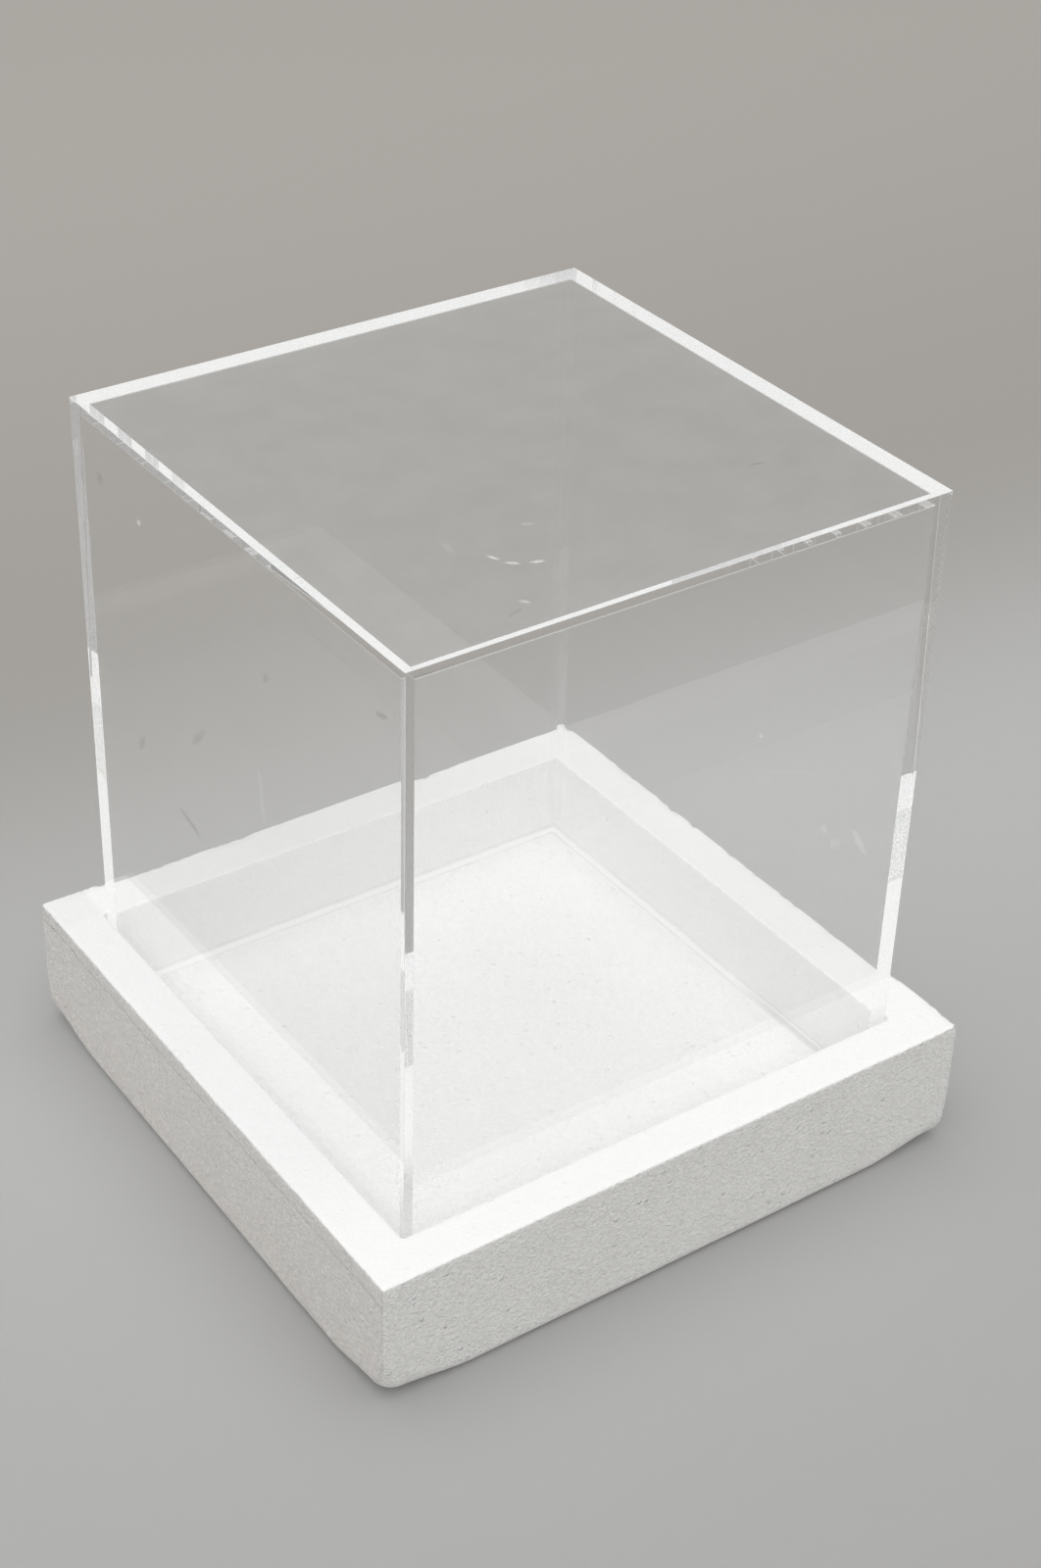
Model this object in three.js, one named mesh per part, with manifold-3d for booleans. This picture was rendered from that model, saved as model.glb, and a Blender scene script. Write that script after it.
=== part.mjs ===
// Clear acrylic display cover standing in the recess of an expanded-polystyrene tray.
// Units: millimetres. +Z is up, the front faces -Y and left is -X.
// The origin is the centre of the tray's underside.
// The cover is five flat sheets, solvent-welded edge to face: a top panel that lies
// on the four walls, front and back walls at full width, and left and right walls
// between them. Its underside is open. The tray is one block with a square recess.

import * as THREE from 'three';
import { mergeVertices } from 'three/addons/utils/BufferGeometryUtils.js';
import Module from 'manifold-3d';

// ---------- cover ----------
const COVER_W = 254;          // outside width and depth (10 in)
const COVER_H = 305;          // outside height (12 in)
const SHEET_T = 6;            // sheet thickness
const ARRIS = 0.5;            // 45 degree break on the exposed outside edges

// ---------- tray ----------
const TRAY_W = 302;           // outside width and depth of the block
const TRAY_H = 65;            // block height
const RECESS_D = 41.5;        // depth of the recess below the rim
const SIDE_CLEARANCE = 1.25;  // gap between the cover and each recess wall
const BOTTOM_R = 5;           // rounding along the block's lower edges
const CORNER_R = 2;           // rounding of the block's upright corners
const CREASE_DROP = 9;        // height of the score line below the rim, on the left side
const CREASE_W = 1.2;         // mouth width of the score line
const CREASE_D = 0.6;         // depth of the score line

// ---------- modelling ----------
const ROUND_STEPS = 5;        // facets in each quarter round
const CUT_STEPS = 1;          // a single facet makes a 45 degree cut
const OVERSHOOT = 1;          // how far a cutting shape runs past the block's sides
const RECESS_OVERSHOOT = 5;   // how far the recess cutter rises above the rim
const MERGE_TOLERANCE = 1e-4; // corners closer than this are one vertex

// ---------- derived ----------
const FLOOR_Z = TRAY_H - RECESS_D;          // recess floor, where the cover stands
const TOP_Z = FLOOR_Z + COVER_H - SHEET_T;  // underside of the top panel
const OUTER = COVER_W / 2;                  // centre to the walls' outside faces
const INNER = OUTER - SHEET_T;              // centre to the walls' inside faces
const TRAY_HALF = TRAY_W / 2;
const RECESS_HALF = OUTER + SIDE_CLEARANCE;

const wasm = await Module();
wasm.setup();

// ---------- solids and meshes ----------
// A closed BufferGeometry becomes a solid once its shared corners are merged.
function solid(geometry) {
  geometry.deleteAttribute('normal');
  geometry.deleteAttribute('uv');
  const merged = mergeVertices(geometry, MERGE_TOLERANCE);
  return new wasm.Manifold(new wasm.Mesh({
    numProp: 3,
    vertProperties: Float32Array.from(merged.attributes.position.array),
    triVerts: Uint32Array.from(merged.index.array),
  }));
}

function mesh(name, manifold, material) {
  const { vertProperties, triVerts } = manifold.getMesh();
  const geometry = new THREE.BufferGeometry();
  const points = Float32Array.from(vertProperties);
  geometry.setAttribute('position', new THREE.BufferAttribute(points, 3));
  geometry.setIndex(new THREE.BufferAttribute(Uint32Array.from(triVerts), 1));
  geometry.computeVertexNormals();
  const result = new THREE.Mesh(geometry, material);
  result.name = name;
  return result;
}

// Extrude a closed outline of [a, b] points along one axis.
// axis 'z': outline is (x, y); axis 'y': outline is (x, z); axis 'x': outline is (y, z).
// Each placement is a proper rotation and a shift, so the faces still point out.
function prism(points, axis, from, to) {
  const placements = {
    x: [
      0, 0, 1, from,
      1, 0, 0, 0,
      0, 1, 0, 0,
      0, 0, 0, 1,
    ],
    y: [
      1, 0, 0, 0,
      0, 0, -1, to,
      0, 1, 0, 0,
      0, 0, 0, 1,
    ],
    z: [
      1, 0, 0, 0,
      0, 1, 0, 0,
      0, 0, 1, from,
      0, 0, 0, 1,
    ],
  };
  const shape = new THREE.Shape(points.map(([a, b]) => new THREE.Vector2(a, b)));
  const geometry = new THREE.ExtrudeGeometry(shape, { depth: to - from, bevelEnabled: false });
  geometry.applyMatrix4(new THREE.Matrix4().set(...placements[axis]));
  return solid(geometry);
}

// Rectangle outline between two opposite corners. The sizes are corner radii, or 0 for
// a square corner, counter-clockwise from the low corner; steps is the facets in each.
function rectangle([lowA, lowB], [highA, highB], sizes = [0, 0, 0, 0], steps = CUT_STEPS) {
  // corner a, corner b, direction inward along a and along b
  const corners = [
    [lowA, lowB, 1, 1],
    [highA, lowB, -1, 1],
    [highA, highB, -1, -1],
    [lowA, highB, 1, -1],
  ];
  const startAngles = [Math.PI, 1.5 * Math.PI, 0, 0.5 * Math.PI];
  return corners.flatMap(([a, b, inwardA, inwardB], i) => {
    const size = sizes[i];
    if (size === 0) return [[a, b]];
    const centreA = a + inwardA * size;
    const centreB = b + inwardB * size;
    return Array.from({ length: steps + 1 }, (_, step) => {
      const angle = startAngles[i] + (step / steps) * (Math.PI / 2);
      return [centreA + size * Math.cos(angle), centreB + size * Math.sin(angle)];
    });
  });
}

// Square block centred on the z axis: its plan trimmed by one side profile along x and y.
// The profile's corner sizes run low, low, high, high.
function trimmedBlock({ half, bottom, top, uprightSize, profileSizes, steps, overshoot }) {
  const plan = rectangle([-half, -half], [half, half], Array(4).fill(uprightSize), steps);
  const profile = rectangle([-half, bottom], [half, top], profileSizes, steps);
  const reach = half + overshoot;
  return prism(plan, 'z', bottom, top)
    .intersect(prism(profile, 'y', -reach, reach))
    .intersect(prism(profile, 'x', -reach, reach));
}

// ---------- cover pieces ----------
// The upper edges and upright corners are broken.
function topPanel() {
  return trimmedBlock({
    half: OUTER,
    bottom: TOP_Z,
    top: TOP_Z + SHEET_T,
    uprightSize: ARRIS,
    profileSizes: [0, 0, ARRIS, ARRIS],
    steps: CUT_STEPS,
    overshoot: 0,
  });
}

// Walls in plan; the front and back walls have their outer upright edges broken.
const WALLS = [
  {
    name: 'front_wall', low: [-OUTER, -OUTER], high: [OUTER, -INNER],
    breaks: [ARRIS, ARRIS, 0, 0], tint: 0xeef4f6,
  },
  {
    name: 'back_wall', low: [-OUTER, INNER], high: [OUTER, OUTER],
    breaks: [0, 0, ARRIS, ARRIS], tint: 0xeef4f6,
  },
  { name: 'left_wall', low: [-OUTER, -INNER], high: [-INNER, INNER], tint: 0xf0f5f6 },
  { name: 'right_wall', low: [INNER, -INNER], high: [OUTER, INNER], tint: 0xf0f5f6 },
];

function wall({ low, high, breaks }) {
  return prism(rectangle(low, high, breaks), 'z', FLOOR_Z, TOP_Z);
}

// ---------- tray pieces ----------
function recessCutter() {
  const plan = rectangle([-RECESS_HALF, -RECESS_HALF], [RECESS_HALF, RECESS_HALF]);
  return prism(plan, 'z', FLOOR_Z, TRAY_H + RECESS_OVERSHOOT);
}

// V-shaped score line along the whole left face.
function creaseCutter() {
  const creaseZ = TRAY_H - CREASE_DROP;
  const low = creaseZ - CREASE_W / 2;
  const high = creaseZ + CREASE_W / 2;
  const reach = TRAY_HALF + OVERSHOOT;
  const profile = [
    [-reach, low],
    [-TRAY_HALF, low],
    [-TRAY_HALF + CREASE_D, creaseZ],
    [-TRAY_HALF, high],
    [-reach, high],
  ];
  return prism(profile, 'y', -reach, reach);
}

function trayBody() {
  const block = trimmedBlock({
    half: TRAY_HALF,
    bottom: 0,
    top: TRAY_H,
    uprightSize: CORNER_R,
    profileSizes: [BOTTOM_R, BOTTOM_R, 0, 0],
    steps: ROUND_STEPS,
    overshoot: OVERSHOOT,
  });
  return block.subtract(recessCutter()).subtract(creaseCutter());
}

// ---------- materials ----------
// Glossy, mostly see-through sheet.
function acrylic(tint) {
  return new THREE.MeshStandardMaterial({
    color: tint,
    roughness: 0.05,
    metalness: 0,
    transparent: true,
    opacity: 0.25,
  });
}

// Matt off-white foam.
function foam() {
  return new THREE.MeshStandardMaterial({ color: 0xf3f2ee, roughness: 0.95, metalness: 0 });
}

// ---------- assembly ----------
const cover = new THREE.Group();
cover.add(mesh('top_panel', topPanel(), acrylic(0xf4f8f9)));
for (const spec of WALLS) cover.add(mesh(spec.name, wall(spec), acrylic(spec.tint)));

const tray = new THREE.Group();
tray.add(mesh('foam_tray', trayBody(), foam()));

const display = new THREE.Group();
display.add(tray, cover);

export default display;
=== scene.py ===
import math

import bmesh
import bpy
import numpy as np
from mathutils import Matrix, Vector


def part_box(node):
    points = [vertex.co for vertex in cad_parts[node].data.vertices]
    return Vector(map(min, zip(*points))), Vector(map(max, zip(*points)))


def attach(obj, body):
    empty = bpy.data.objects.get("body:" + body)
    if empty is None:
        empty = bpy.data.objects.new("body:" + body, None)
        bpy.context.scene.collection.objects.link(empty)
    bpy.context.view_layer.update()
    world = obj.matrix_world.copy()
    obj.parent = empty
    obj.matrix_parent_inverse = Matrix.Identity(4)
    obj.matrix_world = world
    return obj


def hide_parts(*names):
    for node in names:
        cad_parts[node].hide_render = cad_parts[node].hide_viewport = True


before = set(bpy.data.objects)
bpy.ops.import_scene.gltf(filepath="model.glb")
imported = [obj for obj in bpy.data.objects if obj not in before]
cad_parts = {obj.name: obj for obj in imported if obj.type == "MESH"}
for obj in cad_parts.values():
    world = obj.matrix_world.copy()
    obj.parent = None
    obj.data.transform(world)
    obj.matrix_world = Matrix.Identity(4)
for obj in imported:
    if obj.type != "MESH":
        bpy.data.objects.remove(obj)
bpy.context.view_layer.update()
MM = 0.001
SAW_COS = math.cos(math.radians(19))  # the saw marks on the tray's left face slope at 19 degrees
SAW_SIN = math.sin(math.radians(19))

# ------------------------------------------------------------------ node helpers


class Tree:
    """A small helper for wiring the node tree of a material or the world."""

    def __init__(self, owner):
        self.owner = owner
        self.nodes = owner.node_tree.nodes
        self.links = owner.node_tree.links

    def node(self, kind, inputs=None, **settings):
        """inputs: socket name or number, and the constant or output socket that feeds it."""
        n = self.nodes.new("ShaderNode" + kind)
        for key, setting in settings.items():
            setattr(n, key, setting)
        for key, value in (inputs or {}).items():
            self.feed(n.inputs[key], value)
        return n

    def feed(self, socket, value):
        """Link an output, or set a constant. A colour is given as RGB."""
        if hasattr(value, "is_output"):
            self.links.new(value, socket)
        elif socket.type == "RGBA":
            socket.default_value = (*value, 1)
        else:
            socket.default_value = value

    def finish(self, shader):
        self.node("OutputMaterial", {"Surface": shader})
        return self.owner

    def shader(self, kind, **inputs):
        """inputs: socket names, with _ for a space."""
        named = {key.replace("_", " "): value for key, value in inputs.items()}
        return self.node(kind, named).outputs[0]

    def mix(self, amount, first, second):
        return self.node("MixShader", {0: amount, 1: first, 2: second}).outputs[0]

    def tinted(self, color, amount, tint, clamp=True):
        """color multiplied by tint, as far as amount."""
        n = self.node(
            "Mix",
            {"Factor": amount, "A": color, "B": tint},
            data_type="RGBA",
            blend_type="MULTIPLY",
            clamp_factor=clamp,
        )
        return n.outputs["Result"]

    def math(self, op, a, b=0.0, clamp=False):
        return self.node("Math", {0: a, 1: b}, operation=op, use_clamp=clamp).outputs[0]

    def product(self, first, *rest):
        for value in rest:
            first = self.math("MULTIPLY", first, value)
        return first

    def weighted(self, *terms):
        """The sum of (value, weight) terms."""
        total = None
        for value, weight in terms:
            part = self.product(value, weight)
            total = part if total is None else self.math("ADD", total, part)
        return total

    def invert(self, value):
        return self.math("SUBTRACT", 1.0, value)

    def size(self, value):
        return self.math("ABSOLUTE", value)

    def remap(self, value, start, end):
        """The range start (low, high) carried onto the range end, and held beyond it."""
        inputs = {"Value": value, "From Min": start[0], "From Max": start[1]}
        inputs.update({"To Min": end[0], "To Max": end[1]})
        return self.node("MapRange", inputs).outputs["Result"]

    def mask(self, value, none, full):
        """0 where value is none or beyond, 1 where it is full or beyond."""
        return self.remap(value, (none, full), (0.0, 1.0))

    def fade(self, value, full, none):
        """1 where value is full or beyond, 0 where it is none or beyond."""
        return self.remap(value, (full, none), (1.0, 0.0))

    def coords(self, scale=(1, 1, 1), rotation=(0, 0, 0), offset=(0, 0, 0)):
        place = self.node("TexCoord").outputs["Object"]
        inputs = {"Scale": scale, "Rotation": rotation, "Location": offset, "Vector": place}
        return self.node("Mapping", inputs).outputs["Vector"]

    def xyz(self, vec):
        parts = self.node("SeparateXYZ", {0: vec}).outputs
        return parts["X"], parts["Y"], parts["Z"]

    def dot(self, vec, direction):
        n = self.node("VectorMath", {0: vec, 1: direction}, operation="DOT_PRODUCT")
        return n.outputs["Value"]

    def noise(self, vec, scale, detail=2.0, rough=0.5, distortion=0.0):
        inputs = {"Scale": scale, "Detail": detail, "Roughness": rough}
        inputs.update({"Distortion": distortion, "Vector": vec})
        return self.node("TexNoise", inputs).outputs["Fac"]

    def voronoi(self, vec, scale, feature="F1", out="Distance"):
        n = self.node("TexVoronoi", {"Scale": scale, "Vector": vec}, feature=feature)
        return n.outputs[out]

    def ramp(self, value, stops, interpolation="LINEAR"):
        """stops: (position, RGB)."""
        n = self.node("ValToRGB", {"Fac": value})
        n.color_ramp.interpolation = interpolation
        elements = n.color_ramp.elements
        while len(elements) > 1:
            elements.remove(elements[-1])
        for i, (position, color) in enumerate(stops):
            element = elements[0] if i == 0 else elements.new(position)
            element.position = position
            element.color = (*color, 1)
        return n.outputs["Color"]


def material(name):
    """The empty tree of a new material."""
    mat = bpy.data.materials.new(name)
    mat.use_nodes = True
    mat.node_tree.nodes.clear()
    return Tree(mat)


# ------------------------------------------------------------------ acrylic materials

ACRYLIC_IOR = 1.49
PIPED = 0.95  # strength of the painted light, an emission, on the walls' lower edges

# Runs of small bubbles trapped in the walls' upright joints: place and half length.
BUBBLE_RUNS = [((-0.124, 0.124, 0.047), 0.026), ((-0.124, -0.124, 0.086), 0.011)]

# Old scuffs (pale, the first list; their paleness is partly painted glow) and smudges (dark, the
# second) on the outer skins: centre, long direction, half length, half width, strength.
MARKS = {
    "top": (
        [
            ((-0.0556, -0.0758, 0.3285), (0.39, -0.92, 0.0), 0.0034, 0.0012, 0.75),
            ((-0.0519, -0.0829, 0.3285), (0.77, -0.64, 0.0), 0.0036, 0.0012, 0.85),
            ((-0.0434, -0.0869, 0.3285), (0.96, -0.28, 0.0), 0.0036, 0.0012, 0.90),
            ((-0.0642, -0.1087, 0.3285), (0.63, -0.77, 0.0), 0.0028, 0.0014, 0.50),
            ((-0.0298, -0.0611, 0.3285), (0.92, -0.40, 0.0), 0.0034, 0.0011, 0.32),
            ((-0.0656, -0.0607, 0.3285), (-0.13, -0.99, 0.0), 0.0058, 0.0018, 0.14),
        ],
        [
            ((0.0761, -0.0685, 0.3285), (1.0, -0.09, 0.0), 0.0040, 0.0009, 0.40),
            ((-0.0713, -0.1133, 0.3285), (0.95, 0.30, 0.0), 0.0046, 0.0010, 0.30),
        ],
    ),
    "front": (
        [
            ((0.0992, -0.127, 0.1704), (0.50, 0.0, -0.86), 0.0120, 0.0018, 0.42),
            ((0.0774, -0.127, 0.1859), (0.71, 0.0, -0.71), 0.0038, 0.0028, 0.28),
            ((0.0849, -0.127, 0.1762), (0.73, 0.0, -0.68), 0.0052, 0.0028, 0.22),
            ((0.0549, -0.127, 0.2218), (0.92, 0.0, -0.40), 0.0251, 0.0012, 0.14),
            ((0.0388, -0.127, 0.2450), (0.94, 0.0, -0.33), 0.0018, 0.0014, 0.55),
        ],
        [],
    ),
    "left": (
        [
            ((-0.127, -0.0225, 0.2172), (0.0, -0.15, -0.99), 0.0150, 0.0028, 0.20),
            ((-0.127, 0.0705, 0.2962), (0.0, -0.96, 0.28), 0.0021, 0.0018, 0.75),
        ],
        [
            ((-0.127, -0.1114, 0.3028), (0.0, -0.97, 0.26), 0.0050, 0.0015, 0.32),
            ((-0.127, 0.0393, 0.1684), (0.0, -0.96, -0.26), 0.0110, 0.0020, 0.26),
            ((-0.127, -0.0290, 0.2751), (0.0, -0.73, 0.69), 0.0043, 0.0024, 0.16),
            ((-0.127, 0.0281, 0.2168), (0.0, -0.68, 0.73), 0.0099, 0.0023, 0.17),
            ((-0.127, 0.0797, 0.1858), (0.0, -0.55, 0.83), 0.0057, 0.0025, 0.16),
            ((-0.127, 0.1037, 0.3015), (0.0, -0.84, 0.54), 0.0038, 0.0031, 0.24),
        ],
    ),
    "rest": (
        [
            ((0.127, -0.0310, 0.2410), (0.0, 0.9, -0.43), 0.0190, 0.0013, 0.12),
            ((-0.0413, 0.127, 0.2809), (0.7, 0.0, 0.71), 0.0060, 0.0018, 0.16),
            ((0.0520, 0.127, 0.1530), (0.97, 0.0, -0.24), 0.0210, 0.0014, 0.10),
        ],
        [
            ((0.127, 0.0310, 0.2120), (0.0, 0.95, 0.30), 0.0050, 0.0012, 0.16),
            ((0.0910, 0.127, 0.2460), (0.9, 0.0, 0.44), 0.0050, 0.0012, 0.14),
        ],
    ),
}


def spot(t, vec, centre, along, half_length, half_width):
    """1 at centre, falling to 0 at the edge of an ellipse whose long direction is along."""
    shift = t.node("VectorMath", {0: vec, 1: centre}, operation="SUBTRACT").outputs[0]
    u = t.math("DIVIDE", t.dot(shift, Vector(along).normalized()), half_length)
    length = t.node("VectorMath", {0: shift}, operation="LENGTH").outputs["Value"]
    reach2 = t.math("POWER", t.math("DIVIDE", length, half_width), 2.0)
    along2 = t.product(t.math("POWER", u, 2.0), (half_length / half_width) ** 2)
    across2 = t.math("SUBTRACT", reach2, along2)
    return t.fade(t.math("ADD", t.math("POWER", u, 2.0), across2), 0.0, 1.0)


def mark_total(t, vec, grit, entries):
    """The marks of one list added up, or None for an empty list."""
    total = None
    for *shape, strength in entries:
        mark = t.product(spot(t, vec, *shape), grit, strength)
        total = mark if total is None else t.math("ADD", total, mark)
    return total


def wipe_haze(t, seed):
    """Faint wipe marks in patches, and a little even haze."""
    vec = t.coords(offset=(seed, seed * 0.7, -seed))
    wide = t.noise(vec, 9.0, detail=4.0, rough=0.6)
    stretched = t.coords(scale=(1, 1, 0.25), rotation=(0.5, 0.3, 0.2), offset=(seed, 0, 0))
    fine = t.noise(stretched, 260.0, detail=3.0, rough=0.7)
    wipes = t.product(t.mask(wide, 0.58, 0.72), t.mask(fine, 0.62, 0.80), 0.05)
    return t.math("ADD", wipes, t.remap(wide, (0.45, 0.85), (0.0, 0.006)), clamp=True)


def cut_haze(t):
    """Frost and fine tool marks across an edge that was scraped and buffed by hand."""
    tool = t.noise(t.coords(scale=(1, 1, 0.12)), 1100.0, detail=3.0, rough=0.65)
    wave = t.noise(t.coords(scale=(1, 1, 0.3)), 70.0, detail=3.0, rough=0.55)
    frost = t.remap(tool, (0.35, 0.70), (0.31, 0.35))
    return t.math("ADD", frost, t.remap(wave, (0.35, 0.65), (-0.03, 0.04)), clamp=True)


def acrylic(name, seed=0.0, cut=False, marks=None, dust=0.0, glow=0.0):
    """Polished clear sheet. cut: a buffed cut edge, in place of the seeded wipe marks.
    marks: the MARKS entry it carries. dust: how much of an even film of dust lies on a marked
    skin. glow: how much of the light inside the sheet leaks out, as along a line of cement; that
    light is painted on as an emission."""
    t = material(name)
    haze = cut_haze(t) if cut else wipe_haze(t, seed)
    scuffs = smudges = None
    if marks:
        plain = t.coords()
        grit = t.noise(plain, 700.0, detail=4.0, rough=0.7)
        grit = t.remap(grit, (0.35, 0.60), (0.25, 1.0))
        scuffs, smudges = (mark_total(t, plain, grit, entries) for entries in MARKS[marks])
        if dust:
            motes = t.noise(plain, 45.0, detail=4.0, rough=0.65)
            motes = t.remap(motes, (0.3, 0.7), (dust * 0.7, dust * 1.3))
            haze = t.math("ADD", haze, motes, clamp=True)
    # inside the sheet, light that is guided along it meets no haze or marks
    outside = t.invert(t.node("NewGeometry").outputs["Backfacing"])

    glass = t.shader("BsdfGlass", Color=(1.0, 1.0, 1.0), IOR=ACRYLIC_IOR, Roughness=0.0)
    film = t.shader("BsdfDiffuse", Color=(0.88, 0.89, 0.885))
    skin = t.mix(t.product(haze, outside), glass, film)
    if scuffs is not None:
        # a scuff is a pale rough mark, partly painted glow: an emission stands in for light it
        # scatters
        torn = t.shader("BsdfDiffuse", Color=(0.9, 0.9, 0.89))
        scuff_glow = t.shader("Emission", Color=(0.80, 0.80, 0.785))
        scuffed = t.mix(0.6, torn, scuff_glow)
        skin = t.mix(t.math("MULTIPLY", scuffs, outside, clamp=True), skin, scuffed)
    if smudges is not None:
        grime = t.shader("BsdfDiffuse", Color=(0.16, 0.15, 0.13))
        skin = t.mix(t.product(smudges, outside), skin, grime)
    if glow:
        # painted light: an emission stands in for the light that leaks out along the cement
        leak = t.shader("Emission", Color=(0.90, 0.915, 0.90))
        uneven = t.noise(t.coords(), 120.0, detail=3.0, rough=0.6)
        skin = t.mix(t.remap(uneven, (0.3, 0.7), (glow * 0.75, glow)), skin, leak)

    # shadow and diffuse rays pass straight through
    clear = t.shader("BsdfTransparent", Color=(0.996, 0.997, 0.996))
    path = t.node("LightPath").outputs
    passes = t.math("MAXIMUM", path["Is Shadow Ray"], path["Is Diffuse Ray"])
    return t.finish(t.mix(passes, skin, clear))


def foot(name):
    """The walls' lower edges, sanded matte. A clear sheet gathers light along its face and pipes
    it to such an edge. That gathered light is painted on: an emission gives it to the matte face
    directly."""
    t = material(name)
    sand = t.noise(t.coords(), 900.0, detail=3.0, rough=0.6)
    glow_noise = t.noise(t.coords(offset=(0.1, 0.3, 0.2)), 9.0, detail=1.0, rough=0.5)
    sand_tones = [(0.3, (0.95, 0.955, 0.95)), (0.7, (0.99, 0.992, 0.99))]
    glow_tones = [(0.3, (0.980, 0.985, 0.972)), (0.7, (1.0, 1.0, 0.988))]
    matte = t.shader("BsdfDiffuse", Color=t.ramp(sand, sand_tones))

    # less reaches the front ends of the left and right walls and the left end of the front wall
    x, y, _ = t.xyz(t.coords())
    wall_from, wall_full = 0.1205, 0.1212
    front_wall = t.mask(y, -wall_from, -wall_full)
    back_wall = t.mask(y, wall_from, wall_full)
    left_wall = t.mask(x, -wall_from, -wall_full)
    right_wall = t.mask(x, wall_from, wall_full)
    left_shifted = t.math("SUBTRACT", y, t.product(left_wall, 0.036))
    shifted = t.math("ADD", left_shifted, t.product(right_wall, 0.024))
    place = t.node("Mix", {"Factor": front_wall, "A": shifted, "B": x}, data_type="FLOAT")
    along = t.math("ADD", place.outputs["Result"], back_wall)
    strength = t.remap(along, (-0.038, 0.0), (PIPED * 0.74, PIPED))
    # painted light: an emission stands in for the light piped down the sheet to its lower edge
    piped = t.shader("Emission", Color=t.ramp(glow_noise, glow_tones), Strength=strength)
    return t.finish(t.mix(0.93, matte, piped))


def bond(name):
    """Solvent-welded contact: light passes straight on, apart from small trapped bubbles."""
    t = material(name)
    vec = t.coords()
    tints = [(0.3, (1.0, 1.0, 1.0)), (0.8, (0.985, 0.99, 0.99))]
    clear = t.shader("BsdfTransparent", Color=t.ramp(t.noise(vec, 60.0), tints))
    cells = t.voronoi(vec, 430.0)
    where = None
    for (x, y, z), half in BUBBLE_RUNS:
        height = t.size(t.math("SUBTRACT", t.dot(vec, (0, 0, 1)), z))
        there = t.fade(height, half * 0.6, half)
        for axis, at in ((0, x), (1, y)):
            toward = tuple(math.copysign(1, at) if k == axis else 0 for k in range(3))
            there = t.product(there, t.mask(t.dot(vec, toward), 0.110, 0.112))
        where = there if where is None else t.math("MAXIMUM", where, there)
    bubble = t.product(t.fade(cells, 0.20, 0.27), where)
    skin = t.shader("BsdfGlossy", Color=(0.92, 0.93, 0.93), Roughness=0.25)
    return t.finish(t.mix(t.product(bubble, 0.75), clear, skin))


# In the order of the sheets' material slots.
SHEET_MATERIALS = {
    "sheet": acrylic("clear_acrylic_sheet"),
    "bond": bond("solvent_joint"),
    "foot": foot("sanded_foot_painted_glow"),
    "edge": acrylic("buffed_edge", cut=True),
    "top": acrylic("dusted_top", seed=0.1, marks="top", dust=0.085),
    "front": acrylic("scuffed_front", seed=0.5, marks="front"),
    "left": acrylic("scuffed_left", seed=0.7, marks="left"),
    "rest": acrylic("scuffed_rear", seed=0.9, marks="rest"),
    # the cement lines glow with painted light
    "seam": acrylic("cement_line_painted_glow", seed=0.2, glow=0.42),
    "thin seam": acrylic("thin_cement_line", seed=0.4, glow=0.22),
}
SHEET_SLOTS = {key: i for i, key in enumerate(SHEET_MATERIALS)}

# ------------------------------------------------------------------ acrylic sheets

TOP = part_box("top_panel")[1].z
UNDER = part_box("top_panel")[0].z  # the top panel's underside
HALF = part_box("top_panel")[1].x  # half the cover's outside width
INNER = -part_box("left_wall")[1].x  # half the clear width inside the walls
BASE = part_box("front_wall")[0].z
NEAR = 2e-5
ARRIS = 0.0002  # width taken off the outside edges
FOOT_BREAK = 0.0003  # width taken off the walls' lower edges
SEAM = 0.0005  # height of the bead of cement under the top panel


def near(a, b):
    return abs(a - b) < NEAR


def skin_kind(c, n):
    """The material of a plain face with centre c and normal n: the outer skins carry marks, and
    the walls' inner skins carry a fine bead of cement under the top panel, which glows with
    painted light."""
    if UNDER - SEAM < c.z < UNDER and max(abs(c.x), abs(c.y)) < INNER + NEAR:
        return "thin seam" if n.x > 0.99 else "seam"
    if n.z > 0.99 and near(c.z, TOP):
        return "top"
    if n.y < -0.99 and near(c.y, -HALF):
        return "front"
    if n.x < -0.99 and near(c.x, -HALF):
        return "left"
    if (n.x > 0.99 and near(c.x, HALF)) or (n.y > 0.99 and near(c.y, HALF)):
        return "rest"
    return "sheet"


def face_kind(name, c, n, bonded):
    if bonded(c, n):
        return "bond"
    if name != "top_panel" and c.z < BASE + 0.00031 and n.z < -0.2:
        return "foot"
    if max(abs(n.x), abs(n.y), abs(n.z)) < 0.995:  # a broken edge
        return "thin seam" if c.x > INNER and c.y > INNER and c.z < UNDER else "edge"
    return skin_kind(c, n)


def add_object(name, mesh):
    ob = bpy.data.objects.new(name, mesh)
    bpy.context.scene.collection.objects.link(ob)
    return ob


def split_at(bm, axis, at):
    """Cut every face along a plane, so that a strip has its own faces."""
    normal = Vector((0, 0, 0))
    normal[axis] = 1
    point = Vector((0, 0, 0))
    point[axis] = at
    geom = bm.verts[:] + bm.edges[:] + bm.faces[:]
    bmesh.ops.bisect_plane(bm, geom=geom, dist=1e-7, plane_co=point, plane_no=normal)


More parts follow.
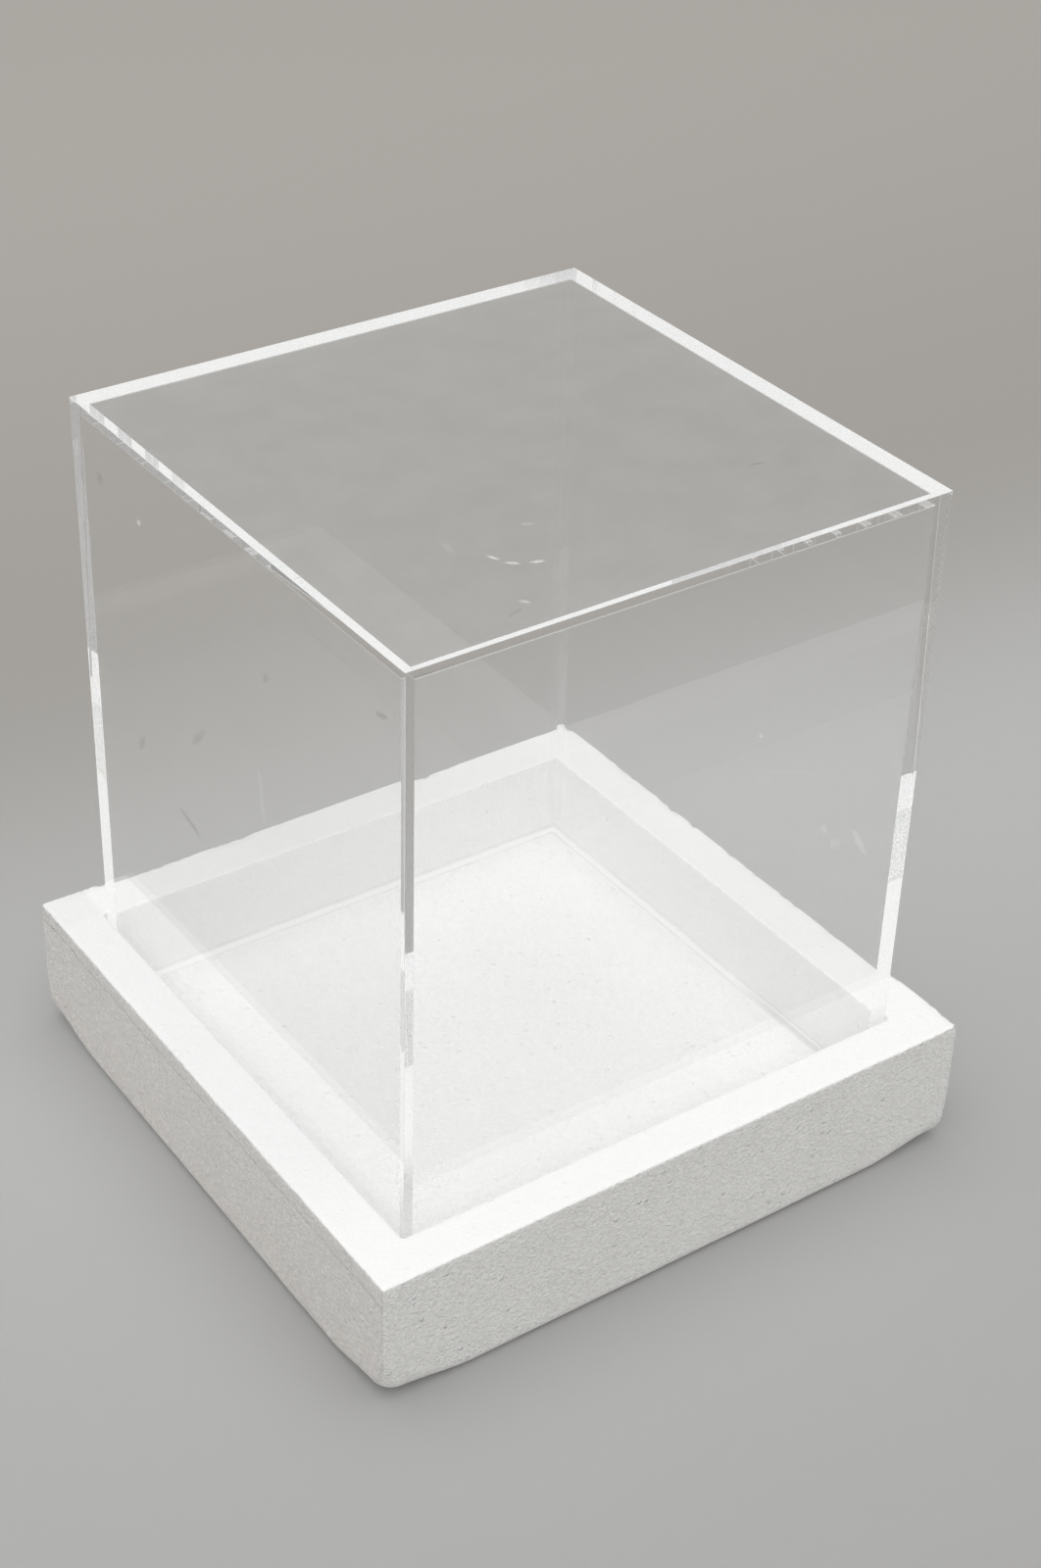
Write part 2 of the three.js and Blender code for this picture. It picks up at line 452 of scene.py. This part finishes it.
def sheet(name, bevels, cuts, bonded):
    """One cut sheet. bevels: (test of an edge's centre and direction, width, segments).
    cuts: the (axis, place) planes that divide its faces. bonded(centre, normal): whether a face
    is welded to a neighbour."""
    lo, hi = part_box(name)
    bm = bmesh.new()
    bmesh.ops.create_cube(bm, size=1.0)
    for v in bm.verts:
        v.co = Vector([lo[i] if v.co[i] < 0 else hi[i] for i in range(3)])
    bm.normal_update()
    for test, width, segments in bevels:
        edges = []
        for e in bm.edges:
            start, end = (v.co for v in e.verts)
            if test((start + end) / 2, (end - start).normalized()):
                edges.append(e)
        if edges:
            bmesh.ops.bevel(
                bm,
                geom=edges,
                offset=width,
                segments=segments,
                profile=0.5,
                affect="EDGES",
                clamp_overlap=True,
            )
            bm.normal_update()
    for axis, at in cuts:
        split_at(bm, axis, at)
    bmesh.ops.remove_doubles(bm, verts=bm.verts[:], dist=1e-8)
    bmesh.ops.recalc_face_normals(bm, faces=bm.faces[:])
    bm.normal_update()
    for f in bm.faces:
        f.smooth = False
        kind = face_kind(name, f.calc_center_median(), f.normal, bonded)
        f.material_index = SHEET_SLOTS[kind]
    mesh = bpy.data.meshes.new(name + "_sheet")
    bm.to_mesh(mesh)
    bm.free()
    for mat in SHEET_MATERIALS.values():
        mesh.materials.append(mat)
    ob = add_object(name + "_sheet", mesh)
    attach(ob, "cover")
    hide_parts(name)


def long_wall(name, outward):
    """The front (outward -1) or back (+1) wall, which covers the ends of the side walls."""
    lo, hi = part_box(name)
    outer_y = lo.y if outward < 0 else hi.y
    sheet(
        name,
        [
            (lambda c, d: abs(d.z) > 0.9 and near(c.y, outer_y), ARRIS, 2),
            (lambda c, d: near(c.z, BASE) and abs(d.z) < 0.1, FOOT_BREAK, 1),
        ],
        [(0, -INNER), (0, INNER), (2, UNDER - SEAM)],
        lambda c, n: n.z > 0.9 or (-outward * n.y > 0.9 and abs(c.x) > INNER),
    )


def side_wall(name):
    """The left or right wall, which stands between the other two."""
    sheet(
        name,
        [(lambda c, d: near(c.z, BASE) and abs(d.z) < 0.1 and abs(d.y) > 0.9, FOOT_BREAK, 1)],
        [(2, UNDER - SEAM)],
        lambda c, n: n.z > 0.9 or abs(n.y) > 0.9,
    )


# the top panel: its upper outside edges and its four short upright corners are just taken off
sheet(
    "top_panel",
    [(lambda c, d: near(c.z, TOP) or abs(d.z) > 0.9, ARRIS, 2)],
    [(0, -INNER), (0, INNER), (1, -INNER), (1, INNER)],
    lambda c, n: n.z < -0.9 and (abs(c.x) > INNER or abs(c.y) > INNER),
)
long_wall("front_wall", -1)
long_wall("back_wall", 1)
side_wall("left_wall")
side_wall("right_wall")

# ------------------------------------------------------------------ foam tray, in millimetres
# The block's outside, its well and its rounded edges are one distance field. A grid that follows
# the block's faces is drawn onto that field, then given the relief of cut, beaded foam.

TRAY_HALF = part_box("foam_tray")[1].x * 1000
TRAY_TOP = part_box("foam_tray")[1].z * 1000
WELL_FLOOR = BASE * 1000
WELL_HALF = HALF * 1000 + 1.25  # the well stands this far off the cover on each side
CREASE_Z = TRAY_TOP - 9.0  # height of the crease across the left face
GRID_XY, GRID_Z = 2.2, 1.95  # widest grid spacing

# Small picked hollows: centre, radius, depth.
PICKS = [
    ((TRAY_HALF, 146, TRAY_TOP), 4.5, 1.3),
    ((TRAY_HALF, 58, TRAY_TOP), 3.6, 1.2),
    ((TRAY_HALF, 41, TRAY_TOP), 2.8, 1.0),
    ((TRAY_HALF, 12, TRAY_TOP), 3.0, 0.8),
    ((TRAY_HALF, -28, TRAY_TOP), 2.4, 0.6),
    ((TRAY_HALF, -TRAY_HALF, TRAY_TOP - 1.5), 4.0, 1.3),
    ((60, TRAY_HALF, TRAY_TOP), 3.2, 0.9),
    ((-40, TRAY_HALF, TRAY_TOP), 2.6, 0.7),
    ((-118, TRAY_HALF, TRAY_TOP), 3.4, 1.2),
    ((-TRAY_HALF, 141, TRAY_TOP), 3.0, 0.8),
    ((-TRAY_HALF, TRAY_HALF, TRAY_TOP - 3.5), 3.4, 1.0),
    ((-TRAY_HALF, -TRAY_HALF, TRAY_TOP), 2.6, 0.5),
    ((-TRAY_HALF, -84, TRAY_TOP), 2.2, 0.5),
    ((22, -TRAY_HALF, TRAY_TOP), 2.0, 0.4),
    ((101, -TRAY_HALF, 34), 2.2, 0.45),
    ((117, -TRAY_HALF, 48), 1.8, 0.35),
    ((-TRAY_HALF, -100, 22), 2.6, 0.45),
    ((-TRAY_HALF, 30, 8), 3.4, 0.6),
    ((127.5, 127.5, TRAY_TOP), 3.0, 0.6),
    ((-127.5, 20, TRAY_TOP), 2.4, 0.4),
    ((30, -127.5, TRAY_TOP), 2.4, 0.4),
]


def hash3(i, j, k, seed):
    """A fixed pseudo-random number in 0..1 for each lattice point."""
    i, j, k = (np.asarray(v).astype(np.int64) & 0xFFFFFFFF for v in (i, j, k))
    h = (i * 374761393 + j * 668265263 + k * 2147483647 + seed * 1274126177) & 0xFFFFFFFF
    h = ((h ^ (h >> 13)) * 1274126177) & 0xFFFFFFFF
    h = ((h ^ (h >> 16)) * 2246822519) & 0xFFFFFFFF
    h = h ^ (h >> 15)
    return (h & 0xFFFFFF) / float(0xFFFFFF)


def lattice(p, cell, seed):
    """Smooth value noise, -1..1, with features of about one cell."""
    scaled = p / cell
    corner = np.floor(scaled)
    f = scaled - corner
    f = f * f * f * (f * (f * 6 - 15) + 10)
    corner = corner.astype(np.int64)
    total = np.zeros(len(p))
    for dx in (0, 1):
        for dy in (0, 1):
            for dz in (0, 1):
                weight = f[:, 0] if dx else 1 - f[:, 0]
                weight = weight * (f[:, 1] if dy else 1 - f[:, 1])
                weight = weight * (f[:, 2] if dz else 1 - f[:, 2])
                at = (corner[:, 0] + dx, corner[:, 1] + dy, corner[:, 2] + dz)
                total += weight * hash3(*at, seed)
    return total * 2 - 1


def unit_lattice(p, cell, seed):
    return 0.5 + 0.5 * lattice(p, cell, seed)


def step(value, none, full):
    """A smooth step from 0 at none to 1 at full."""
    x = np.clip((value - none) / (full - none), 0, 1)
    return x * x * (3 - 2 * x)


def meet(a, b, radius):
    """Two half spaces meeting in a round edge."""
    over_a = np.maximum(radius + a, 0)
    over_b = np.maximum(radius + b, 0)
    return np.minimum(-radius, np.maximum(a, b)) + np.hypot(over_a, over_b)


def field(p):
    """Distance outside the tray's ideal surface."""
    x, y, z = p[:, 0], p[:, 1], p[:, 2]
    across, deep = np.abs(x), np.abs(y)
    # the upright edges are rounder low down, the front left one most of all
    low = 1 - step(z, 2.0, 26.0)
    front_left = step(-x, 60, TRAY_HALF) * step(-y, 60, TRAY_HALF)
    upright = 1.5 + low * (2.6 + 7.0 * front_left)
    # the left face is not quite parallel to the right one, and the front was cut a little short
    out_x = np.maximum(x - TRAY_HALF, -x - TRAY_HALF + 0.85 + 0.0065 * y)
    out_y = np.maximum(y - TRAY_HALF, -y - TRAY_HALF + 1.9)
    side = meet(out_x, out_y, upright)
    corner = step(across, 105, 146) * step(deep, 105, 146)
    outer = meet(side, -z, 5.0 + 7.5 * corner)
    outer = meet(outer, z - TRAY_TOP, 1.3)
    well = meet(across - WELL_HALF, deep - WELL_HALF, 1.6)
    well = meet(well, WELL_FLOOR - z, 0.45)
    return meet(outer, -well, 0.9)


def slope(p):
    """The field's gradient."""
    reach = 0.01
    gradient = np.empty_like(p)
    for i in range(3):
        d = np.zeros(3)
        d[i] = reach
        gradient[:, i] = (field(p + d) - field(p - d)) / (2 * reach)
    return gradient


def settle(p):
    """Draw the points onto the surface."""
    for _ in range(10):
        g = slope(p)
        steepness = np.maximum((g * g).sum(1), 0.2)
        p = p - (field(p) / steepness)[:, None] * g
    return p


def grid_places(stops, pitch):
    """The stops, with the gaps between them filled at no more than pitch."""
    stops = sorted(stops)
    out = [stops[0]]
    for a, b in zip(stops[:-1], stops[1:]):
        n = max(1, math.ceil((b - a) / pitch - 1e-9))
        out += [a + (b - a) * i / n for i in range(1, n + 1)]
    return np.array(out)


def block_grid():
    """Points and quads over the skin of the square block with its square well."""
    edge = (0, 0.35, 0.9, 1.8, 3.2)  # the grid is close near the edges
    half = [TRAY_HALF - d for d in (*edge, 5.5)]
    half += [WELL_HALF + d for d in (1.5, 0.5, 0, -0.2, -0.5, -0.9, -1.6, -7.2)]
    xs = grid_places([-v for v in half] + half, GRID_XY)
    zs = grid_places(
        [0, 0.9, 2.0, 3.4, 5.2]
        + [WELL_FLOOR + d for d in (0, 0.35, 1.2)]
        + [CREASE_Z + 0.4 * k for k in range(-4, 5)]
        + [TRAY_TOP - d for d in edge],
        GRID_Z,
    )
    nx, nz = len(xs), len(zs)
    inside = np.abs((xs[1:] + xs[:-1]) / 2) < WELL_HALF
    above = (zs[1:] + zs[:-1]) / 2 > WELL_FLOOR
    solid = ~(inside[:, None, None] & inside[None, :, None] & above[None, None, :])
    padded = np.pad(solid, 1)
    quads = []
    # a quad wherever a solid cell has an empty neighbour
    for axis in range(3):
        for sign in (1, -1):
            neighbour = np.roll(padded, -sign, axis)[1:-1, 1:-1, 1:-1]
            cell = list(np.nonzero(solid & ~neighbour))
            u, v = [(1, 2), (2, 0), (0, 1)][axis]
            if sign > 0:
                cell[axis] = cell[axis] + 1
            else:
                u, v = v, u
            ring = []
            for du, dv in ((0, 0), (1, 0), (1, 1), (0, 1)):
                i, j, k = (cell[a] + (du if a == u else dv if a == v else 0) for a in range(3))
                ring.append((i * nx + j) * nz + k)
            quads.append(np.stack(ring, 1))
    used, quads = np.unique(np.concatenate(quads), return_inverse=True)
    i, j, k = used // (nz * nx), (used // nz) % nx, used % nz
    return np.stack([xs[i], xs[j], zs[k]], 1), quads.reshape(-1, 4)


def saw_relief(p, n):
    """Depth of the marks on the sawn left face, and the crease's own strength."""
    x, y, z = p[:, 0], p[:, 1], p[:, 2]
    sawn = step(-n[:, 0], 0.6, 0.9) * (x < -WELL_HALF - 5)
    # shallow sloping bands
    along = (y * SAW_COS + z * SAW_SIN) / 22.0
    across = np.stack([x * 0, along, -y * SAW_SIN + z * SAW_COS], 1)
    bands = sawn * 0.12 * unit_lattice(across + 40, 4.4, 14)
    # the crease wanders a little, and is deeper towards the back
    flat = p * np.array([1, 1, 0.0])
    crease_z = CREASE_Z + 0.6 * lattice(flat, 26.0, 15) + 0.005 * y
    groove = sawn * np.exp(-((z - crease_z) / 0.55) ** 2) * (0.8 + 0.4 * lattice(flat, 9.0, 16))
    return bands + (0.30 + 0.12 * step(y, 60, 140)) * groove, groove


def relief(p, n):
    """How far the skin lies below the ideal surface, and the crease's strength."""
    x, y, z = p[:, 0], p[:, 1], p[:, 2]
    reach = np.maximum(np.abs(x), np.abs(y))
    up = step(n[:, 2], 0.6, 0.9)
    down = step(-n[:, 2], 0.6, 0.9)
    # beads, swells and grain
    depth = 0.05 * unit_lattice(p, 4.2, 11)
    depth = depth + 0.10 * unit_lattice(p, 19.0, 12) + 0.05 * unit_lattice(p, 2.6, 13)
    depth = depth * (1 - 0.5 * up)
    sawn, groove = saw_relief(p, n)
    depth = depth + sawn
    # a torn upper edge, ragged at the right and back
    edge = np.exp(-((z - TRAY_TOP) / 1.6) ** 2) * step(reach, TRAY_HALF - 4.5, TRAY_HALF - 2.4)
    far = np.maximum(step(x, 138, TRAY_HALF - 1), step(y, 138, TRAY_HALF - 1))
    torn = hash3(np.round(x * 3.1), np.round(y * 3.3), np.round(z * 2.7), 17)
    depth = depth + edge * (0.12 + 0.9 * far * step(lattice(p, 9.0, 18), -0.15, 0.5)) * torn
    for (cx, cy, cz), radius, deep in PICKS:
        distance = np.sqrt((x - cx) ** 2 + (y - cy) ** 2 + (z - cz) ** 2)
        depth = depth + deep * np.clip(1 - (distance / radius) ** 2, 0, 1) ** 1.5
    # the well is clean along the line where its walls meet its floor, near the cover's feet
    in_well = (reach < WELL_HALF + 0.3) & (z > 1)
    from_line = np.hypot(np.maximum(WELL_HALF - reach, 0), np.maximum(z - WELL_FLOOR, 0))
    depth = np.where(in_well, depth * step(from_line, 1.0, 9.0) + 0.06, depth)
    return depth * (1 - 0.6 * down), groove


# ------------------------------------------------------------------ foam material, in metres

SIDE_SHADE = (0.982, 0.978, 0.962)  # how much darker the outsides of the tray are painted, as painted shade


class FoamZones:
    """Masks, 0..1, that pick out the parts of the tray."""

    def __init__(self, t, vec):
        nx, _, nz = t.xyz(t.node("TexCoord").outputs["Normal"])
        self.x, self.y, self.z = x, y, z = t.xyz(vec)
        self.reach = reach = t.math("MAXIMUM", t.size(x), t.size(y))
        upright = t.fade(t.size(nz), 0.35, 0.80)
        self.outer = t.product(t.mask(reach, 0.1405, 0.1430), upright)
        self.sawn = t.product(t.mask(nx, -0.75, -0.9), t.mask(x, -0.1400, -0.1425))
        # the strip of the well that the cover stands on is pressed smooth
        strip = t.mask(reach, 0.1206, 0.1212), t.mask(reach, 0.1290, 0.1280)
        pressed = t.product(*strip, t.mask(z, 0.0250, 0.0240))
        self.loose = t.invert(t.product(pressed, 0.85))
        up = t.mask(nz, 0.6, 0.9)
        rim_z = TRAY_TOP * MM
        self.rim = t.product(up, t.mask(z, rim_z - 0.004, rim_z - 0.0025))
        self.well = t.product(up, t.mask(z, 0.0265, 0.0250), t.mask(reach, 0.1216, 0.1210))
        self.well_walls = t.product(t.invert(up), t.mask(reach, 0.1295, 0.1288))


def sloped(t, vec, along, across):
    """Coordinates in the saw marks' slope, scaled along and across it."""
    u = t.dot(vec, (0, SAW_COS * along, SAW_SIN * along))
    v = t.dot(vec, (0, -SAW_SIN * across, SAW_COS * across))
    return t.node("CombineXYZ", {0: u, 1: v}).outputs[0]


class FoamPatterns:
    """Beads, crumb, tone and saw marks."""

    def __init__(self, t, vec, sawn):
        self.cells = t.voronoi(vec, 330.0)
        self.seams = t.voronoi(vec, 330.0, feature="DISTANCE_TO_EDGE")
        self.small = t.voronoi(vec, 820.0)
        self.crumb = t.noise(vec, 1250.0, detail=3.0, rough=0.6)
        grain_vec = t.coords(offset=(0.05, 0.02, 0.07))
        self.grain = t.noise(grain_vec, 520.0, detail=3.0, rough=0.62)
        self.tone = t.noise(vec, 11.0, detail=4.0, rough=0.6)
        self.patch = t.noise(t.coords(offset=(0.2, 0.4, 0.1)), 55.0, detail=3.0, rough=0.55)
        fine, broad = sloped(t, vec, 90.0, 1100.0), sloped(t, vec, 30.0, 300.0)
        self.lines = t.noise(fine, 1.0, detail=3.0, rough=0.6, distortion=0.35)
        self.bands = t.noise(broad, 1.0, distortion=0.3)
        # sparse beads that were left whole shine a little
        offset = (0.013, 0.027, 0.041)
        pick = t.voronoi(t.coords(offset=offset), 260.0, out="Color")
        pick = t.node("SeparateColor", {0: pick}).outputs[0]
        whole = t.mask(t.math("ADD", pick, t.product(sawn, 0.20)), 0.84, 0.90)
        core = t.fade(t.voronoi(t.coords(offset=offset), 260.0), 0.10, 0.30)
        self.speck = t.product(whole, core)

    def patchy(self, t, least):
        """least..1, varying in patches."""
        return t.remap(self.patch, (0.3, 0.7), (least, 1.0))


def mottled(t, zone, pat):
    """The foam's own white, darkened in its pits and seams."""
    amount = t.weighted(
        (t.fade(pat.seams, 0.0, 0.05), 0.25),
        (t.fade(pat.crumb, 0.32, 0.60), 0.25),
        (t.fade(pat.grain, 0.40, 0.60), 0.30),
        (t.product(pat.lines, zone.sawn), 0.45),
    )
    # strong on the outer sides, weak on the rim and on the well's walls
    more = t.math("ADD", 1.0, t.product(zone.outer, 2.2))
    by_zone = t.math("SUBTRACT", more, t.product(zone.rim, 0.6))
    calm = t.invert(t.product(zone.well_walls, 0.9))
    amount = t.product(amount, t.invert(pat.speck), zone.loose, by_zone, calm)
    white = t.ramp(pat.tone, [(0.32, (0.970, 0.969, 0.964)), (0.68, (0.988, 0.988, 0.985))])
    amount = t.math("MINIMUM", amount, 2.2)
    return t.tinted(white, amount, (0.93, 0.927, 0.922), clamp=False)


def side_tones_and_shade(t, vec, color, zone, pat):
    """The outsides are painted a little darker, as painted shade, the sawn left side the most,
    where it is also warmer low down in the saw's bands.
    """
    # painted shade over the outer sides, less over the whole beads
    outer_shade = t.product(zone.outer, t.invert(t.product(pat.speck, 0.8)))
    lighter = tuple(v + 0.015 for v in SIDE_SHADE)
    grey = t.ramp(pat.patch, [(0.3, SIDE_SHADE), (0.7, lighter)])
    color = t.tinted(color, outer_shade, grey)
    # the sawn side is darker and warmer towards the bottom, in the saw's bands
    fading_up = t.remap(zone.z, (0.0, 0.045), (1.0, 0.25))
    amount = t.product(zone.sawn, fading_up, t.remap(pat.bands, (0.36, 0.62), (0.3, 1.0)))
    color = t.tinted(color, amount, (1.0, 0.955, 0.935))
    # torn beads stand in sloping pale rows on the sawn side
    torn = t.mask(t.noise(sloped(t, vec, 420.0, 760.0), 1.0), 0.53, 0.61)
    color = t.tinted(color, t.product(torn, zone.sawn), (1.13, 1.135, 1.14))
    # painted shade along the crease
    crease = t.node("Attribute", attribute_name="groove").outputs["Fac"]
    amount = t.math("MULTIPLY", crease, pat.patchy(t, 0.7), clamp=True)
    return t.tinted(color, amount, (0.74, 0.73, 0.715))


def rim_shade_and_dust(t, color, zone, pat):
    """The left rim is painted a little darker, as painted shade, and dust lies on the right and
    back ones.
    """
    x, y, rim = zone.x, zone.y, zone.rim
    left_rim = t.product(rim, t.mask(x, -0.1265, -0.1300), t.mask(y, -0.125, -0.060))
    # painted shade on the front part of the left rim
    color = t.tinted(color, left_rim, (0.935, 0.936, 0.94))
    right_side = t.remap(x, (0.1265, 0.1300), (0.0, 0.3))
    right_rim = t.product(rim, right_side, t.mask(y, -0.13, -0.05))
    back_rim = t.product(
        rim,
        t.mask(y, 0.1265, 0.1300),
        t.remap(x, (-0.14, -0.02), (0.15, 1.0)),
        t.remap(x, (0.06, 0.125), (1.0, 0.45)),
    )
    amount = t.product(t.math("MAXIMUM", right_rim, back_rim), pat.patchy(t, 0.85))
    return t.tinted(color, amount, (0.865, 0.866, 0.866))


def painted_contact_shadows(t, color, zone, pat):
    """Thin lines of painted shade on the well's floor, where contact shadows fall at the cover's
    feet and at the well's walls.
    """
    reach = zone.reach
    on_floor = t.mask(zone.z, 0.0252, 0.0246)
    inner = t.product(t.mask(reach, 0.1201, 0.1205), t.mask(reach, 0.1213, 0.1210))
    outer = t.product(t.mask(reach, 0.1262, 0.1268), t.mask(reach, 0.1290, 0.1287))
    line = t.math("MAXIMUM", inner, t.product(outer, 0.8))
    amount = t.product(on_floor, line, pat.patchy(t, 0.6))
    # the lines darken the floor as painted contact shadows
    return t.tinted(color, amount, (0.86, 0.86, 0.84))


def foam_normal(t, zone, pat):
    height = t.weighted(
        (t.fade(pat.cells, 0.0, 0.6), 0.30),
        (pat.crumb, 0.5),
        (t.fade(pat.small, 0.0, 0.6), 0.6),
        (pat.grain, 1.6),
        (pat.speck, 1.3),
        (t.product(pat.lines, zone.sawn), 1.3),
        (t.product(pat.bands, zone.sawn), 0.6),
    )
    strength = t.math("ADD", 0.62, t.product(zone.outer, 0.33))
    strength = t.math("SUBTRACT", strength, t.product(zone.rim, 0.25))
    strength = t.product(zone.loose, strength)
    return t.shader("Bump", Strength=strength, Distance=0.0008, Height=height)


def foam():
    t = material("expanded_polystyrene")
    vec = t.coords()
    zone = FoamZones(t, vec)
    pat = FoamPatterns(t, vec, zone.sawn)
    color = mottled(t, zone, pat)
    # the well's floor is painted a touch darker than the rim, as painted shade in the well
    brushed = t.coords(scale=(1, 0.3, 1), rotation=(0, 0, 0.6))
    brushed = t.noise(brushed, 420.0, detail=3.0, rough=0.6)
    amount = t.product(zone.well, t.remap(brushed, (0.35, 0.65), (0.75, 1.0)))
    color = t.tinted(color, amount, (0.966, 0.966, 0.964))
    color = side_tones_and_shade(t, vec, color, zone, pat)
    color = rim_shade_and_dust(t, color, zone, pat)
    color = painted_contact_shadows(t, color, zone, pat)
    rough = t.remap(pat.patch, (0.3, 0.7), (0.55, 0.80))
    surface = t.shader(
        "BsdfPrincipled",
        Base_Color=color,
        Roughness=t.math("SUBTRACT", rough, t.product(pat.speck, 0.30)),
        IOR=1.4,
        Specular_IOR_Level=0.5,
        Subsurface_Weight=0.12,
        Subsurface_Radius=(1, 1, 0.97),
        Subsurface_Scale=0.002,
        Normal=foam_normal(t, zone, pat),
    )
    return t.finish(surface)


def foam_block():
    p, quads = block_grid()
    p = settle(p)
    n = slope(p)
    n = n / np.maximum(np.linalg.norm(n, axis=1), 1e-6)[:, None]
    depth, groove = relief(p, n)
    p = p - n * depth[:, None]
    mesh = bpy.data.meshes.new("foam_tray_block")
    mesh.from_pydata((p * MM).tolist(), [], quads.tolist())
    mesh.update()
    mesh.polygons.foreach_set("use_smooth", np.ones(len(mesh.polygons), bool))
    crease = mesh.attributes.new("groove", "FLOAT", "POINT")
    crease.data.foreach_set("value", np.clip(groove, 0, 1).astype(np.float32))
    mesh.materials.append(foam())
    ob = add_object("foam_tray_block", mesh)
    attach(ob, "tray")
    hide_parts("foam_tray")


foam_block()

# ------------------------------------------------------------------ stage, light, camera

scene = bpy.context.scene

# The floor's tones, front to back: position on the ramp, colour.
FLOOR_TONES = [
    (0.03, (0.398, 0.396, 0.391)),
    (0.20, (0.450, 0.449, 0.446)),
    (0.29, (0.474, 0.474, 0.472)),
    (0.36, (0.440, 0.438, 0.432)),
    (0.44, (0.358, 0.345, 0.327)),
    (0.53, (0.344, 0.327, 0.306)),
    (0.74, (0.384, 0.365, 0.341)),
    (0.94, (0.408, 0.388, 0.360)),
]
# The world's grey by the height of the direction: 0 is the horizon, 1 is overhead.
SKY_TONES = [(0.0, 0.56), (0.35, 0.55), (0.55, 0.56), (0.68, 0.98), (1.0, 1.11)]


def floor():
    bm = bmesh.new()
    bmesh.ops.create_grid(bm, x_segments=4, y_segments=4, size=12.0)
    mesh = bpy.data.meshes.new("studio_floor")
    bm.to_mesh(mesh)
    bm.free()
    ob = add_object("studio_floor", mesh)
    t = material("studio_floor_paint")
    vec = t.coords()
    waver = t.product(t.noise(vec, 1.1, detail=3.0), 0.10)
    place = t.math("ADD", t.dot(vec, (0.162, 1.116, 0.0)), waver)
    color = t.ramp(t.mask(place, -0.35, 1.45), FLOOR_TONES, "B_SPLINE")
    mesh.materials.append(t.finish(t.shader("BsdfPrincipled", Base_Color=color, Roughness=0.75)))


def softbox():
    light = bpy.data.lights.new("ceiling_softbox", "AREA")
    light.shape = "RECTANGLE"
    light.size = light.size_y = 2.6
    light.energy = 12
    light.color = (1.0, 0.995, 0.985)
    place, target = Vector((0.1, 0.25, 2.3)), Vector((0, 0, 0.1))
    ob = add_object("ceiling_softbox", light)
    ob.location = place
    ob.rotation_euler = (target - place).to_track_quat("-Z", "Y").to_euler()


def studio():
    """A pale studio: light from a white ceiling, weaker at the horizon and stronger from the
    camera's side."""
    world = bpy.data.worlds.new("studio")
    scene.world = world
    world.use_nodes = True
    t = Tree(world)
    direction = t.node("TexCoord").outputs["Generated"]
    height = t.xyz(direction)[2]
    sky = t.ramp(height, [(at, (v, v * 0.999, v * 0.996)) for at, v in SKY_TONES])
    facing = t.dot(direction, (-0.70, -0.714, 0.0))
    background = t.nodes["Background"]
    t.feed(background.inputs["Color"], sky)
    t.feed(background.inputs["Strength"], t.remap(facing, (-1.0, 1.0), (0.46, 1.54)))


def camera():
    """At the front left, well over the cover's top, with a slight roll."""
    lens = bpy.data.cameras.new("camera")
    lens.sensor_fit = "VERTICAL"
    lens.sensor_height = 36.0
    lens.lens = 61.992
    lens.clip_start = 0.01
    ob = add_object("camera", lens)
    turn = Matrix(
        (
            (0.8218178, 0.3003404, -0.4841602),
            (-0.5691423, 0.4720013, -0.6732695),
            (0.0263142, 0.8288609, 0.5588355),
        )
    )
    place = Vector((-0.55674, -0.79470, 0.81829))
    ob.matrix_world = Matrix.Translation(place) @ turn.to_4x4()
    scene.camera = ob


floor()
softbox()
studio()
camera()

scene.view_settings.view_transform = "Standard"
# light guided inside the sheets needs many bounces
scene.cycles.max_bounces = 96
scene.cycles.glossy_bounces = 96
scene.cycles.transmission_bounces = 96
scene.cycles.transparent_max_bounces = 96
scene.cycles.diffuse_bounces = 8
scene.cycles.blur_glossy = 0.0
